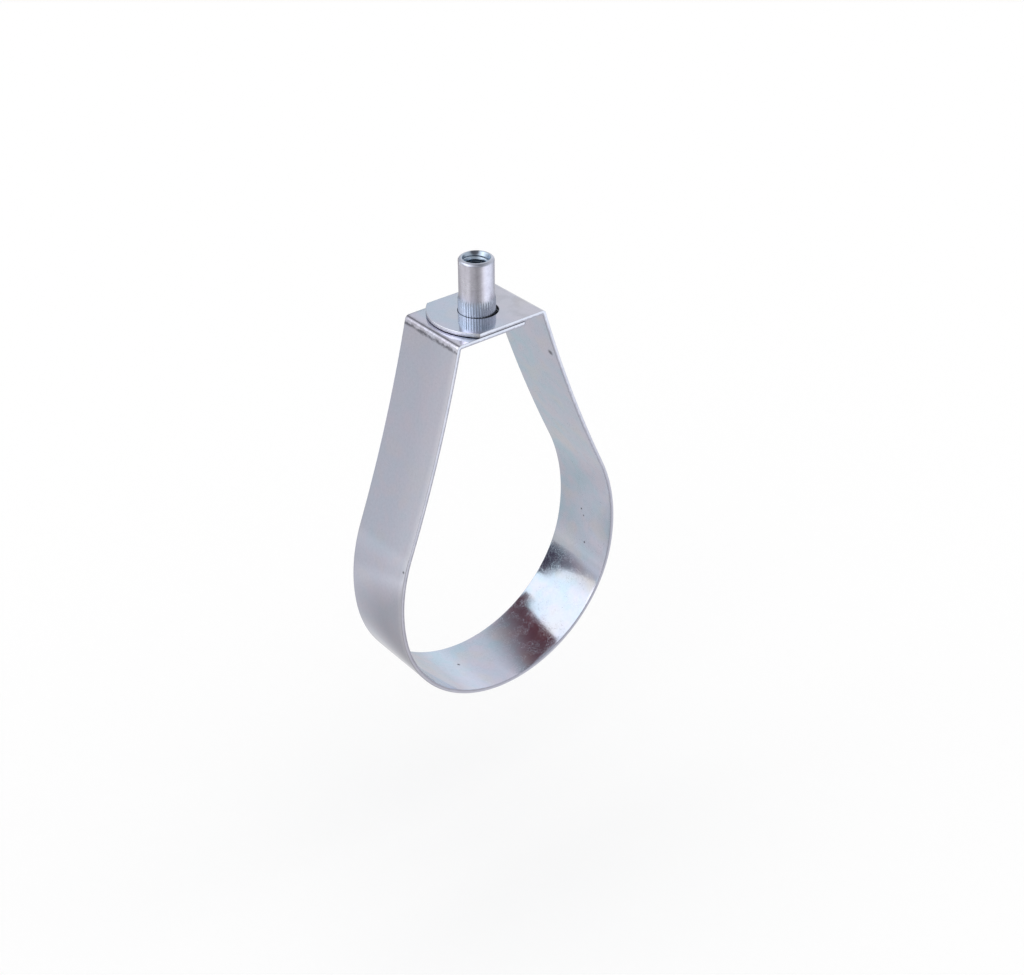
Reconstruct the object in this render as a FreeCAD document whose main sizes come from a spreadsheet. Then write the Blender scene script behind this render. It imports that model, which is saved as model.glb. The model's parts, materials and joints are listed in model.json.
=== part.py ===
import FreeCAD
import Part
import Sketcher
import math
import os

from FreeCAD import Vector

# A swivel ring hanger: a knurled swivel nut for a threaded rod, and a ring of steel strip that holds a pipe
# and turns on the nut. The ring's two ends fold inwards at the top and lap over each other as tabs, and
# the nut stands through a hole in both. The part's origin is the centre of the pipe seat: +Z runs up the
# rod, +Y runs along the pipe, and the right side of the ring is on +X. Each piece is drawn about the swivel
# axis, down from the mouth of the nut's thread, and its placement then sets it over the pipe seat.

# Driving sizes in millimetres, and degrees for the angle.
SIZES = (
    ("band_width", 31.75, "width of the strip, along the pipe"),
    ("strip_thickness", 1.6, "thickness of the strip"),
    ("seat_radius", 51.9, "inside radius of the round seat that the pipe lies in"),
    ("seat_half_angle", 80.0, "angle that the seat covers on each side of its lowest point"),
    ("shoulder_radius", 71.3, "inside radius of the shoulder between the seat and a leg"),
    ("leg_bow_radius", 620.0, "outside radius of the slight hollow along each leg"),
    ("pipe_drop", 133.0, "from the mouth of the thread down to the centre of the pipe seat"),
    ("ring_lean", 3.3, "how far the pipe seat sits to the right of the swivel axis"),
    ("hole_shift", 0.7, "how far the swivel axis lies to the right of the middle between the folds"),
    ("bend_spread", 18.5, "from the middle between the folds out to the centre of each fold's bend"),
    ("bend_radius", 0.4, "inside radius of each fold"),
    ("tab_gap", 0.2, "air between the two lapped tabs"),
    ("tab_reach", 17.5, "from the middle between the folds to the middle of each tab's round end"),
    ("tab_end_radius", 21.0, "radius of each tab's round end"),
    ("tab_hole_radius", 7.6, "radius of the hole through both tabs"),
    ("edge_break", 0.2, "chamfer along the strip's cut edges"),
    ("nut_stand", 21.0, "from the top of the upper tab up to the mouth of the thread"),
    ("knurl_clearance", 0.6, "radial clearance between the knurl and the hole in the tabs"),
    ("knurl_step", 0.35, "how far the knurl stands out from the plain barrel"),
    ("knurl_rise", 6.4, "height of the knurl above the upper tab"),
    ("knurl_depth", 0.25, "depth of the knurl's grooves"),
    ("knurl_grooves", 40, "number of grooves round the knurl"),
    ("rim_round", 1.3, "outside rounding of the barrel's rim"),
    ("flange_overlap", 2.2, "how far the flange reaches past the hole in the tabs"),
    ("flange_thickness", 2.4, "thickness of the flange under the lower tab"),
    ("flange_gap", 0.1, "running gap between the flange and the lower tab"),
    ("thread_radius", 4.0, "radius of the threaded bore at the crests of its thread"),
    ("mouth_flare", 1.2, "how far the bore's mouth opens past the crests of its thread"),
    ("mouth_depth", 2.8, "depth of the smooth cone from the mouth down to the thread"),
    ("foot_chamfer", 0.9, "lead-in chamfer at the foot of the bore"),
)

size = {name: value for name, value, meaning in SIZES}

doc = FreeCAD.newDocument("swivel_ring_hanger")
sheet = doc.addObject("Spreadsheet::Sheet", "sizes")
for row, (name, value, meaning) in enumerate(SIZES, start=1):
    sheet.set("A%d" % row, name)
    sheet.set("B%d" % row, str(value))
    sheet.set("C%d" % row, meaning)
    sheet.setAlias("B%d" % row, name)
doc.recompute()

# Heights that several features share, as expressions on the sheet.
UPPER_TAB_TOP = "-sizes.nut_stand"
LOWER_TAB_TOP = "-(sizes.nut_stand + sizes.strip_thickness + sizes.tab_gap)"
MIDDLE_OF_GAP = "-(sizes.nut_stand + sizes.strip_thickness + sizes.tab_gap / 2)"
KNURL_TOP = "-(sizes.nut_stand - sizes.knurl_rise)"
FLANGE_TOP = "sizes.nut_stand + 2 * sizes.strip_thickness + sizes.tab_gap + sizes.flange_gap"
KNURL_RADIUS = "(sizes.tab_hole_radius - sizes.knurl_clearance)"

# Distances from the swivel axis to the two folds, by side.
FOLD_PLACES = {1: "sizes.bend_spread - sizes.hole_shift", -1: "sizes.bend_spread + sizes.hole_shift"}


def new_body(name):
    """A piece drawn about the swivel axis, and placed so that the part's origin is the pipe's centre."""
    body = doc.addObject("PartDesign::Body", name)
    body.Label = name
    body.setExpression("Placement.Base.x", "-sizes.ring_lean")
    body.setExpression("Placement.Base.z", "sizes.pipe_drop")
    return body


def new_sketch(body, name, plane_role, height=None):
    """A sketch on one of the body's own origin planes, raised by an expression where one is given."""
    plane = next(part for part in body.Origin.OriginFeatures if part.Role == plane_role)
    sketch = body.newObject("Sketcher::SketchObject", name)
    sketch.AttachmentSupport = (plane, [""])
    sketch.MapMode = "FlatFace"
    if height:
        sketch.setExpression(".AttachmentOffset.Base.z", height)
    return sketch


def hold(sketch, *constraint, name=None, by=None):
    """Adds a constraint, and ties its value to the sheet where an expression is given."""
    index = sketch.addConstraint(Sketcher.Constraint(*constraint))
    if by:
        sketch.renameConstraint(index, name)
        sketch.setExpression("Constraints." + name, by)


def hold_radius(sketch, arc, label, expression):
    """Ties the radius of an arc, as it is drawn, to an expression."""
    hold(sketch, "Radius", arc, sketch.Geometry[arc].Radius, name="radius_" + label, by=expression)


def add_line(sketch, start, end):
    return sketch.addGeometry(Part.LineSegment(start, end), False), 1, 2


def add_arc(sketch, centre, start, end, counter_clockwise):
    """An arc from start to end. Returns its index and the numbers of its starting and finishing ends."""
    first, last = (start, end) if counter_clockwise else (end, start)
    from_angle = math.atan2(first.y - centre.y, first.x - centre.x)
    to_angle = math.atan2(last.y - centre.y, last.x - centre.x)
    if to_angle < from_angle:
        to_angle += 2 * math.pi
    circle = Part.Circle(centre, Vector(0, 0, 1), (first - centre).Length)
    index = sketch.addGeometry(Part.ArcOfCircle(circle, from_angle, to_angle), False)
    return (index, 1, 2) if counter_clockwise else (index, 2, 1)


def join(sketch, kind, piece, following):
    """Ties the finish of one piece to the start of the following one."""
    hold(sketch, kind, piece[0], piece[2], following[0], following[1])


def toward(start, end):
    return (end - start).normalize()


def from_axis(side, reach):
    """Place along X of what lies at a reach from the middle between the folds, on the given side."""
    return side * reach - size["hole_shift"]


def meeting_point(first, first_reach, second, second_reach, side):
    """The point at given distances from two centres, on the right of the pair for side 1, or left for -1."""
    span = (second - first).Length
    along = (first_reach ** 2 - second_reach ** 2 + span ** 2) / (2 * span)
    across = math.sqrt(first_reach ** 2 - along ** 2)
    direction = toward(first, second)
    return first + direction * along + Vector(direction.y, -direction.x, 0) * across * side


def side_points(side, tab_top, skin):
    """Centres and joints of one side of the strip's section, for its outside (skin 1) or inside (skin 0)."""
    extra = skin * size["strip_thickness"]
    turn = math.radians(size["seat_half_angle"])
    out = Vector(side * math.sin(turn), -math.cos(turn), 0)
    seat = Vector(size["ring_lean"], -size["pipe_drop"], 0)
    shoulder = seat + out * (size["seat_radius"] - size["shoulder_radius"])
    bend_outside = size["bend_radius"] + size["strip_thickness"]
    bend = Vector(from_axis(side, size["bend_spread"]), tab_top - bend_outside, 0)
    bow_to_shoulder = size["leg_bow_radius"] + size["shoulder_radius"] + size["strip_thickness"]
    bow = meeting_point(shoulder, bow_to_shoulder, bend, size["leg_bow_radius"] + bend_outside, side)
    return {
        "seat": seat,
        "shoulder": shoulder,
        "bow": bow,
        "bend": bend,
        "seat_end": seat + out * (size["seat_radius"] + extra),
        "shoulder_end": shoulder + toward(shoulder, bow) * (size["shoulder_radius"] + extra),
        "leg_end": bend + toward(bend, bow) * (size["bend_radius"] + extra),
        "tab_start": bend + Vector(0, size["bend_radius"] + extra, 0),
    }


def draw_side(sketch, side, tab_top, skin, label):
    """Draws shoulder, leg and bend of one skin on one side, and returns them in order."""
    spot = side_points(side, tab_top, skin)
    right = side > 0
    shoulder = add_arc(sketch, spot["shoulder"], spot["seat_end"], spot["shoulder_end"], right)
    leg = add_arc(sketch, spot["bow"], spot["shoulder_end"], spot["leg_end"], not right)
    bend = add_arc(sketch, spot["bend"], spot["leg_end"], spot["tab_start"], right)
    join(sketch, "Tangent", shoulder, leg)
    join(sketch, "Tangent", leg, bend)
    extra = " + sizes.strip_thickness" if skin else ""
    inward = "" if skin else " + sizes.strip_thickness"
    hold_radius(sketch, shoulder[0], "shoulder_" + label, "sizes.shoulder_radius" + extra)
    hold_radius(sketch, leg[0], "leg_" + label, "sizes.leg_bow_radius" + inward)
    hold_radius(sketch, bend[0], "bend_" + label, "sizes.bend_radius" + extra)
    return shoulder, leg, bend


def draw_strip_section(sketch):
    """The whole section of the bent strip, from one tab's root round the pipe to the other's."""
    upper_top = -size["nut_stand"]
    lower_top = upper_top - size["strip_thickness"] - size["tab_gap"]
    sides = {}
    seats = {}
    for skin, skin_name in ((1, "outside"), (0, "inside")):
        left_end = side_points(-1, lower_top, skin)["seat_end"]
        right_spot = side_points(1, upper_top, skin)
        seat = add_arc(sketch, right_spot["seat"], left_end, right_spot["seat_end"], True)
        extra = " + sizes.strip_thickness" if skin else ""
        hold_radius(sketch, seat[0], "seat_" + skin_name, "sizes.seat_radius" + extra)
        span = 2 * math.radians(size["seat_half_angle"])
        whole = "2 * sizes.seat_half_angle * 1 deg"
        hold(sketch, "Angle", seat[0], span, name="seat_span_" + skin_name, by=whole)
        hold(sketch, "Horizontal", seat[0], 1, seat[0], 2)
        for side, side_name, tab_top in ((1, "right", upper_top), (-1, "left", lower_top)):
            label = side_name + "_" + skin_name
            pieces = draw_side(sketch, side, tab_top, skin, label)
            seat_finish = (seat[0], None, 2 if side > 0 else 1)
            join(sketch, "Tangent", seat_finish, pieces[0])
            sides[side, skin] = pieces
        seats[skin] = seat[0]
    hold(sketch, "Coincident", seats[0], 3, seats[1], 3)
    lean = size["ring_lean"]
    drop = size["pipe_drop"]
    hold(sketch, "DistanceX", -1, 1, seats[1], 3, lean, name="lean", by="sizes.ring_lean")
    hold(sketch, "DistanceY", seats[1], 3, -1, 1, drop, name="drop", by="sizes.pipe_drop")
    levels = {1: (-upper_top, UPPER_TAB_TOP), -1: (-lower_top, LOWER_TAB_TOP)}
    for side, side_name in ((1, "right"), (-1, "left")):
        outer_bend = sides[side, 1][2]
        inner_bend = sides[side, 0][2]
        root = add_line(
            sketch,
            sketch.getPoint(outer_bend[0], outer_bend[2]),
            sketch.getPoint(inner_bend[0], inner_bend[2]),
        )
        join(sketch, "Coincident", outer_bend, root)
        hold(sketch, "Coincident", root[0], 2, inner_bend[0], inner_bend[2])
        hold(sketch, "Vertical", root[0])
        depth, level = levels[side]
        label = "tab_level_" + side_name
        hold(sketch, "DistanceY", root[0], 1, -1, 1, depth, name=label, by="-(" + level + ")")
        ends = (-1, 1, outer_bend[0], 3) if side > 0 else (outer_bend[0], 3, -1, 1)
        spread = abs(from_axis(side, size["bend_spread"]))
        hold(sketch, "DistanceX", *ends, spread, name="fold_" + side_name, by=FOLD_PLACES[side])
        hold(sketch, "Vertical", outer_bend[0], 3, outer_bend[0], outer_bend[2])
        hold(sketch, "Coincident", inner_bend[0], 3, outer_bend[0], 3)


def draw_tab(sketch, side):
    """Plan of a tab, from its root at one fold (right for side 1) to its round end beyond the swivel axis."""
    half_width = size["band_width"] / 2
    centre = Vector(from_axis(side, size["tab_end_radius"] - size["tab_reach"]), 0, 0)
    corner = centre.x - side * math.sqrt(size["tab_end_radius"] ** 2 - half_width ** 2)
    root_back = Vector(from_axis(side, size["bend_spread"]), half_width, 0)
    root_front = Vector(root_back.x, -half_width, 0)
    end_back = Vector(corner, half_width, 0)
    end_front = Vector(corner, -half_width, 0)
    root = add_line(sketch, root_front, root_back)
    back = add_line(sketch, root_back, end_back)
    end = add_arc(sketch, centre, end_back, end_front, side > 0)
    front = add_line(sketch, end_front, root_front)
    loop = (root, back, end, front)
    for piece, following in zip(loop, loop[1:] + loop[:1]):
        join(sketch, "Coincident", piece, following)
    hold(sketch, "Horizontal", back[0])
    hold(sketch, "Horizontal", front[0])
    hold(sketch, "Symmetric", root[0], 1, root[0], 2, -1)
    width = size["band_width"]
    hold(sketch, "DistanceY", root[0], 1, root[0], 2, width, name="width", by="sizes.band_width")
    hold(sketch, "PointOnObject", end[0], 3, -1)
    hold_radius(sketch, end[0], "end", "sizes.tab_end_radius")
    root_ends = (-1, 1, root[0], 1) if side > 0 else (root[0], 1, -1, 1)
    hold(sketch, "DistanceX", *root_ends, abs(root_back.x), name="root", by=FOLD_PLACES[side])
    root_to_centre = (end[0], 3, root[0], 1) if side > 0 else (root[0], 1, end[0], 3)
    by = "sizes.bend_spread + sizes.tab_reach - sizes.tab_end_radius"
    apart = abs(root_back.x - centre.x)
    hold(sketch, "DistanceX", *root_to_centre, apart, name="end_centre", by=by)


def is_cut_edge(edge):
    """Whether an edge follows one side of the strip or rounds a tab's end, on either skin."""
    first, last = edge.Vertexes[0], edge.Vertexes[-1]
    half_width = size["band_width"] / 2
    if not (math.isclose(abs(first.Y), half_width) and math.isclose(abs(last.Y), half_width)):
        return False
    if math.isclose(first.Y, last.Y):
        across_thickness = math.isclose(first.X, last.X)
        return not across_thickness
    return edge.Curve.TypeId == "Part::GeomCircle"


def build_ring_band():
    """The ring: one strip bent round the pipe, with its two ends lapped under the nut's barrel."""
    body = new_body("ring_band")
    section = new_sketch(body, "strip_section", "XZ_Plane")
    draw_strip_section(section)
    strip = body.newObject("PartDesign::Pad", "bent_strip")
    strip.Profile = section
    strip.SideType = "Symmetric"
    strip.setExpression("Length", "sizes.band_width")
    section.Visibility = False

    # Each tab is a flat plate on from its fold, and both lie on the one swivel axis.
    for tab_name, side, tab_top in (("upper_tab", 1, UPPER_TAB_TOP), ("lower_tab", -1, LOWER_TAB_TOP)):
        plan = new_sketch(body, tab_name + "_plan", "XY_Plane", tab_top)
        draw_tab(plan, side)
        tab = body.newObject("PartDesign::Pad", tab_name)
        tab.Profile = plan
        tab.Reversed = True
        tab.setExpression("Length", "sizes.strip_thickness")
        plan.Visibility = False

    # One hole goes through both tabs, cut both ways from the gap between them.
    hole_plan = new_sketch(body, "nut_hole_plan", "XY_Plane", MIDDLE_OF_GAP)
    radius = size["tab_hole_radius"]
    circle = hole_plan.addGeometry(Part.Circle(Vector(0, 0, 0), Vector(0, 0, 1), radius), False)
    hold(hole_plan, "Coincident", circle, 3, -1, 1)
    hold(hole_plan, "Radius", circle, radius, name="hole_radius", by="sizes.tab_hole_radius")
    hole = body.newObject("PartDesign::Pocket", "nut_hole")
    hole.Profile = hole_plan
    hole.SideType = "Symmetric"
    hole.setExpression("Length", "4 * sizes.strip_thickness + sizes.tab_gap")
    hole_plan.Visibility = False
    doc.recompute()

    # The strip's cut edges are lightly broken, along both sides of the ring and round the tabs' ends.
    cut_edges = []
    for number, edge in enumerate(hole.Shape.Edges, start=1):
        if is_cut_edge(edge):
            cut_edges.append("Edge%d" % number)
    broken = body.newObject("PartDesign::Chamfer", "broken_edges")
    broken.Base = (hole, cut_edges)
    broken.setExpression("Size", "sizes.edge_break")
    return body


def draw_nut_section(sketch):
    """Half section of the swivel nut, right of the swivel axis, from its mouth down to its flange."""
    bore = size["thread_radius"]
    flare = size["mouth_flare"]
    cone = size["mouth_depth"]
    chamfer = size["foot_chamfer"]
    knurl = size["tab_hole_radius"] - size["knurl_clearance"]
    barrel = knurl - size["knurl_step"]
    rim = size["rim_round"]
    flange = size["tab_hole_radius"] + size["flange_overlap"]
    knurl_top = size["knurl_rise"] - size["nut_stand"]
    stack = 2 * size["strip_thickness"] + size["tab_gap"] + size["flange_gap"]
    flange_top = -(size["nut_stand"] + stack)
    foot = flange_top - size["flange_thickness"]
    rim_start = Vector(barrel - rim, 0, 0)
    corners = (
        Vector(bore, foot + chamfer, 0),
        Vector(bore, -cone, 0),
        Vector(bore + flare, 0, 0),
        rim_start,
        Vector(barrel, -rim, 0),
        Vector(barrel, knurl_top, 0),
        Vector(knurl, knurl_top, 0),
        Vector(knurl, flange_top, 0),
        Vector(flange, flange_top, 0),
        Vector(flange, foot, 0),
        Vector(bore + chamfer, foot, 0),
    )
    loop = []
    for start, end in zip(corners, corners[1:] + corners[:1]):
        if start is rim_start:
            rim_piece = add_arc(sketch, Vector(start.x, end.y, 0), start, end, False)
            loop.append(rim_piece)
        else:
            loop.append(add_line(sketch, start, end))
    for piece, following in zip(loop, loop[1:] + loop[:1]):
        kind = "Tangent" if rim_piece in (piece, following) else "Coincident"
        join(sketch, kind, piece, following)
    bore_wall, mouth_cone, top_land, rim_arc, barrel_wall, knurl_ledge = (piece[0] for piece in loop[:6])
    knurl_wall, flange_face, flange_wall, foot_land, foot_lead = (piece[0] for piece in loop[6:])
    for wall in (bore_wall, barrel_wall, knurl_wall, flange_wall):
        hold(sketch, "Vertical", wall)
    for land in (top_land, knurl_ledge, flange_face, foot_land):
        hold(sketch, "Horizontal", land)
    hold(sketch, "PointOnObject", top_land, 1, -1)
    radii = (
        (bore_wall, bore, "bore_radius", "sizes.thread_radius"),
        (barrel_wall, barrel, "barrel_radius", KNURL_RADIUS + " - sizes.knurl_step"),
        (knurl_wall, knurl, "knurl_radius", KNURL_RADIUS),
        (flange_wall, flange, "flange_radius", "sizes.tab_hole_radius + sizes.flange_overlap"),
    )
    for wall, radius, name, expression in radii:
        hold(sketch, "DistanceX", -1, 1, wall, 1, radius, name=name, by=expression)
    hold(sketch, "DistanceX", mouth_cone, 1, mouth_cone, 2, flare, name="flare", by="sizes.mouth_flare")
    hold(sketch, "DistanceY", mouth_cone, 1, mouth_cone, 2, cone, name="cone", by="sizes.mouth_depth")
    hold(sketch, "DistanceX", foot_lead, 2, foot_lead, 1, chamfer, name="lead", by="sizes.foot_chamfer")
    hold(sketch, "DistanceY", foot_lead, 1, foot_lead, 2, chamfer, name="lead_up", by="sizes.foot_chamfer")
    hold_radius(sketch, rim_arc, "rim", "sizes.rim_round")
    stand = "-(" + KNURL_TOP + ")"
    hold(sketch, "DistanceY", knurl_ledge, 1, -1, 1, -knurl_top, name="knurl_top", by=stand)
    hold(sketch, "DistanceY", flange_face, 1, -1, 1, -flange_top, name="flange_top", by=FLANGE_TOP)
    thickness = size["flange_thickness"]
    by = "sizes.flange_thickness"
    hold(sketch, "DistanceY", foot_land, 1, flange_wall, 1, thickness, name="thickness", by=by)


def build_swivel_nut():
    """The nut: a barrel with a straight knurl at its lower end and a flange that carries the ring."""
    body = new_body("swivel_nut")
    section = new_sketch(body, "nut_section", "XZ_Plane")
    draw_nut_section(section)
    turned = body.newObject("PartDesign::Revolution", "turned_blank")
    turned.Profile = section
    turned.ReferenceAxis = (section, ["V_Axis"])
    turned.Angle = 360
    section.Visibility = False

    # One knurl groove, a right-angled vee, runs from the knurl's ledge to the flange and repeats all round.
    groove_plan = new_sketch(body, "knurl_groove_plan", "XY_Plane", KNURL_TOP)
    knurl = size["tab_hole_radius"] - size["knurl_clearance"]
    root = Vector(knurl - size["knurl_depth"], 0, 0)
    flank = Vector(knurl + size["knurl_depth"], 2 * size["knurl_depth"], 0)
    other_flank = Vector(flank.x, -flank.y, 0)
    lower = add_line(groove_plan, root, other_flank)
    outer = add_line(groove_plan, other_flank, flank)
    upper = add_line(groove_plan, flank, root)
    loop = (lower, outer, upper)
    for piece, following in zip(loop, loop[1:] + loop[:1]):
        join(groove_plan, "Coincident", piece, following)
    hold(groove_plan, "PointOnObject", lower[0], 1, -1)
    hold(groove_plan, "Symmetric", outer[0], 1, outer[0], 2, -1)
    by = KNURL_RADIUS + " - sizes.knurl_depth"
    hold(groove_plan, "DistanceX", -1, 1, lower[0], 1, root.x, name="groove_root", by=by)
    reach = 2 * size["knurl_depth"]
    mouth = 2 * reach
    by = "2 * sizes.knurl_depth"
    hold(groove_plan, "DistanceX", lower[0], 1, outer[0], 1, reach, name="reach", by=by)
    by = "4 * sizes.knurl_depth"
    hold(groove_plan, "DistanceY", outer[0], 1, outer[0], 2, mouth, name="mouth", by=by)
    groove = body.newObject("PartDesign::Pocket", "knurl_groove")
    groove.Profile = groove_plan
    groove.setExpression("Length", KNURL_TOP + " + " + FLANGE_TOP)
    groove_plan.Visibility = False
    knurling = body.newObject("PartDesign::PolarPattern", "knurl")
    knurling.Originals = [groove]
    knurling.Axis = (groove_plan, ["N_Axis"])
    knurling.Angle = 360
    knurling.setExpression("Occurrences", "sizes.knurl_grooves")
    body.Tip = knurling
    return body


def check_and_export(bodies):
    """Stops if anything failed to build, then writes each piece to its own file."""
    for item in doc.Objects:
        if "Invalid" in item.State or "Error" in item.State:
            raise RuntimeError("%s did not build: %s" % (item.Name, item.State))
    for body in bodies:
        shape = body.Shape
        if shape.isNull() or not shape.isValid() or len(shape.Solids) != 1:
            raise RuntimeError("%s is not one valid solid" % body.Label)
    os.makedirs("parts", exist_ok=True)
    for body in bodies:
        body.Shape.exportStep("parts/%s.step" % body.Label)
        box = body.Shape.BoundBox
        print("%s: %.0f mm3, z %.2f to %.2f mm" % (body.Label, body.Shape.Volume, box.ZMin, box.ZMax))


band = build_ring_band()
nut = build_swivel_nut()
doc.recompute()
check_and_export((band, nut))
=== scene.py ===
"""The looks of a swivel ring hanger: a bent ring of zinc-plated strip on a knurled, threaded nut."""

import json
import math
import random

import bmesh
import bpy
from bpy.props import FloatProperty, FloatVectorProperty, IntProperty, PointerProperty
from mathutils import Matrix, Vector


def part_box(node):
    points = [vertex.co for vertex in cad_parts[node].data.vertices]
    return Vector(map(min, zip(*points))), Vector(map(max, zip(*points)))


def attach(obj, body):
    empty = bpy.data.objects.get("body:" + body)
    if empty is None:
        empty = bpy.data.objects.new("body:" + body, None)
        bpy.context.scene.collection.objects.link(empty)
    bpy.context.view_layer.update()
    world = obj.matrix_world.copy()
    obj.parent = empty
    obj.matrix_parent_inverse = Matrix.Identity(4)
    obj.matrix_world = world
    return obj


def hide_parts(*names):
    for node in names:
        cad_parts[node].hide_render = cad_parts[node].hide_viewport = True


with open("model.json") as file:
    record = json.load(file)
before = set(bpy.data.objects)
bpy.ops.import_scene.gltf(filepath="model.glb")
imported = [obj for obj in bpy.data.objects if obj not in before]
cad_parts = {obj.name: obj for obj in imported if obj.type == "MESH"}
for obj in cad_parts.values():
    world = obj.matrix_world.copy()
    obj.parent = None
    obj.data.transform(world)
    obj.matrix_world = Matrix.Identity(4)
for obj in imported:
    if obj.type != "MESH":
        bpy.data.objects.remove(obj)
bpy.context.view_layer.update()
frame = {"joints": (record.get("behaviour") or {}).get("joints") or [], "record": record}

bl_info = {
    "name": "Swivel ring hanger",
    "version": (1, 0, 0),
    "blender": (4, 5, 0),
    "location": "3D View > Sidebar > Hanger",
    "description": "Models a zinc-plated pipe ring on its knurled swivel nut, and a studio round it",
    "category": "Add Mesh",
}

# In metres: a millimetre, the least length that counts, and how near to each other points are welded.
MM = 0.001
TINY = 1e-6
WELD = 10 * TINY

UP = Vector((0, 0, 1))
WHITE = (1.0, 1.0, 1.0)

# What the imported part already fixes: its boxes, its two mounts and its swivel.
BAND_LOW, BAND_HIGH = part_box("ring_band")
NUT_LOW, NUT_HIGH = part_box("swivel_nut")
MOUNTS = {mount["name"]: mount["dims"] for mount in frame["record"]["mounts"]}
SWIVEL_X = frame["joints"][0]["pos_m"][0]


def length(name, description, default):
    """A length that a user may change, in metres."""
    return FloatProperty(name=name, description=description, default=default, unit="LENGTH", precision=5)


def angle(name, description, degrees):
    return FloatProperty(name=name, description=description, default=math.radians(degrees), unit="ROTATION")


def count(name, description, default):
    return IntProperty(name=name, description=description, default=default, min=8, subtype="UNSIGNED")


def share(name, description, default):
    return FloatProperty(name=name, description=description, default=default, min=0, subtype="FACTOR")


def pixels(name, description, default):
    """A length or a place in the photograph, in its own pixels."""
    return FloatProperty(name=name, description=description, default=default, subtype="PIXEL")


def colour(name, description, default):
    """A colour, or a light's colour, which may pass 1."""
    return FloatVectorProperty(name=name, description=description, default=default, subtype="COLOR", max=2)


class BandSizes(bpy.types.PropertyGroup):
    """Sizes of the bent strip."""

    width: length("Width", "Width of the strip, along the pipe", BAND_HIGH.y - BAND_LOW.y)
    thickness: length("Thickness", "Thickness of the strip", 1.6 * MM)
    tab_top: length("Upper tab", "Height of the upper tab's top", BAND_HIGH.z)
    tab_gap: length("Tab gap", "Air between the lapped tabs", 0.2 * MM)
    tab_reach: length("Tab reach", "From the middle between the folds to a tab's round end", 17.5 * MM)
    tab_end_radius: length("Tab end", "Radius of a tab's round end", 21.0 * MM)
    hole_radius: length("Tab hole", "Radius of the hole through both tabs", 7.6 * MM)
    hole_shift: length("Hole shift", "From the middle between the folds to the swivel axis", 0.7 * MM)
    slack_right: length("Slack", "How far the nut rests to the left of the hole's middle", 0.48 * MM)
    slack_back: length("Slack behind", "How far the nut rests in front of the hole's middle", -0.1 * MM)
    fold_spread: length("Fold spread", "From the middle between the folds to a fold's centre", 18.5 * MM)
    fold_radius: length("Fold radius", "Inside radius of a fold", 0.4 * MM)
    leg_bow_radius: length("Leg bow", "Outside radius of the slight hollow along a leg", 620.0 * MM)
    shoulder_radius: length("Shoulder", "Inside radius of the shoulders", 71.3 * MM)
    seat_radius: length("Seat", "Inside radius of the pipe's seat", MOUNTS["pipe_seat"]["r_mm"] * MM)
    seat_half_angle: angle("Seat angle", "What the seat covers on each side of its lowest point", 80.0)
    edge_round: length("Edge round", "Rounding of the strip's cut edges", 0.2 * MM)
    step: length("Step", "Length of a face along the strip", 1.4 * MM)


class NutSizes(bpy.types.PropertyGroup):
    """Sizes of the turned and threaded nut."""

    knurl_radius: length("Knurl", "Radius over the knurl's crests", 7.0 * MM)
    knurl_step: length("Knurl step", "How far the knurl stands out from the barrel", 0.35 * MM)
    knurl_top: length("Knurl top", "Height of the knurl's upper end", BAND_HIGH.z + 6.4 * MM)
    knurl_run_out: length("Knurl run-out", "Height over which the knurl runs out into the barrel", 1.4 * MM)
    knurl_depth: length("Knurl depth", "Depth of the knurl's grooves", 0.18 * MM)
    knurl_grooves: count("Grooves", "Grooves round the knurl", 40)
    rim_round: length("Rim", "Outside rounding of the barrel's rim", 1.15 * MM)
    flange_radius: length("Flange", "Radius of the flange", NUT_HIGH.y)
    flange_thickness: length("Flange thickness", "Thickness of the flange", 2.4 * MM)
    flange_round: length("Flange edge", "Rounding of the flange's edges", 0.3 * MM)
    thread_radius: length("Thread", "Radius at the thread's crests", MOUNTS["rod_thread"]["r_mm"] * MM)
    thread_pitch: length("Pitch", "Pitch of the thread, sixteen to the inch", 25.4 / 16 * MM)
    thread_depth: length("Thread depth", "Depth of the thread", 0.76 * MM)
    mouth_flare: length("Mouth", "How far the cone at the mouth opens the bore", 1.2 * MM)
    mouth_depth: length("Mouth depth", "How deep the cone at the mouth reaches", 2.8 * MM)
    mouth_lip: length("Lip", "Rounding between the mouth's cone and the rim", 0.3 * MM)
    foot_chamfer: length("Foot", "Chamfer of the bore at the nut's foot", 0.9 * MM)


class ZincColours(bpy.types.PropertyGroup):
    """Colours of the zinc plating."""

    plain: colour("Zinc", "Zinc plating on the strip", (0.56, 0.59, 0.70))
    # Also a painted bluish reflection on the nut's rim.
    cool: colour("Cool tint", "Greenish blue of the thicker passivation", (0.49, 0.60, 0.70))
    rosy: colour("Rosy tint", "Pink of the thinner passivation", (0.62, 0.585, 0.68))
    straw: colour("Straw tint", "Yellow at the edge of a patch", (0.61, 0.60, 0.63))
    # Also painted as a highlight along the strip's front, over the fold and on the cut edges near the tabs.
    rubbed: colour("Rubbed zinc", "Zinc rubbed bright by the bending tool", (0.93, 0.92, 0.98))
    sheared: colour("Sheared zinc", "Zinc over the smooth half of a cut edge", (0.76, 0.75, 0.80))
    # Also a painted shade over the cut edges lower down.
    torn: colour("Torn edge", "Rough, torn half of a cut edge", (0.36, 0.34, 0.38))
    # Also a painted shade inside the tabs' hole, and a painted dark reflection spot at the back of the nut's
    # rim.
    pit: colour("Pits", "Dark pits, creases and specks in the plating", (0.10, 0.10, 0.12))
    turned: colour("Turned zinc", "Zinc plating on the turned nut", (0.75, 0.735, 0.82))
    # Painted shade in the knurl's grooves, and a painted dark reflection on the nut's rim.
    groove: colour("Grooves", "Zinc at the bottom of the knurl's grooves", (0.20, 0.23, 0.30))
    bore: colour("Bore", "Thick, blue plating in the mouth and on the thread", (0.46, 0.56, 0.66))


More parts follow.
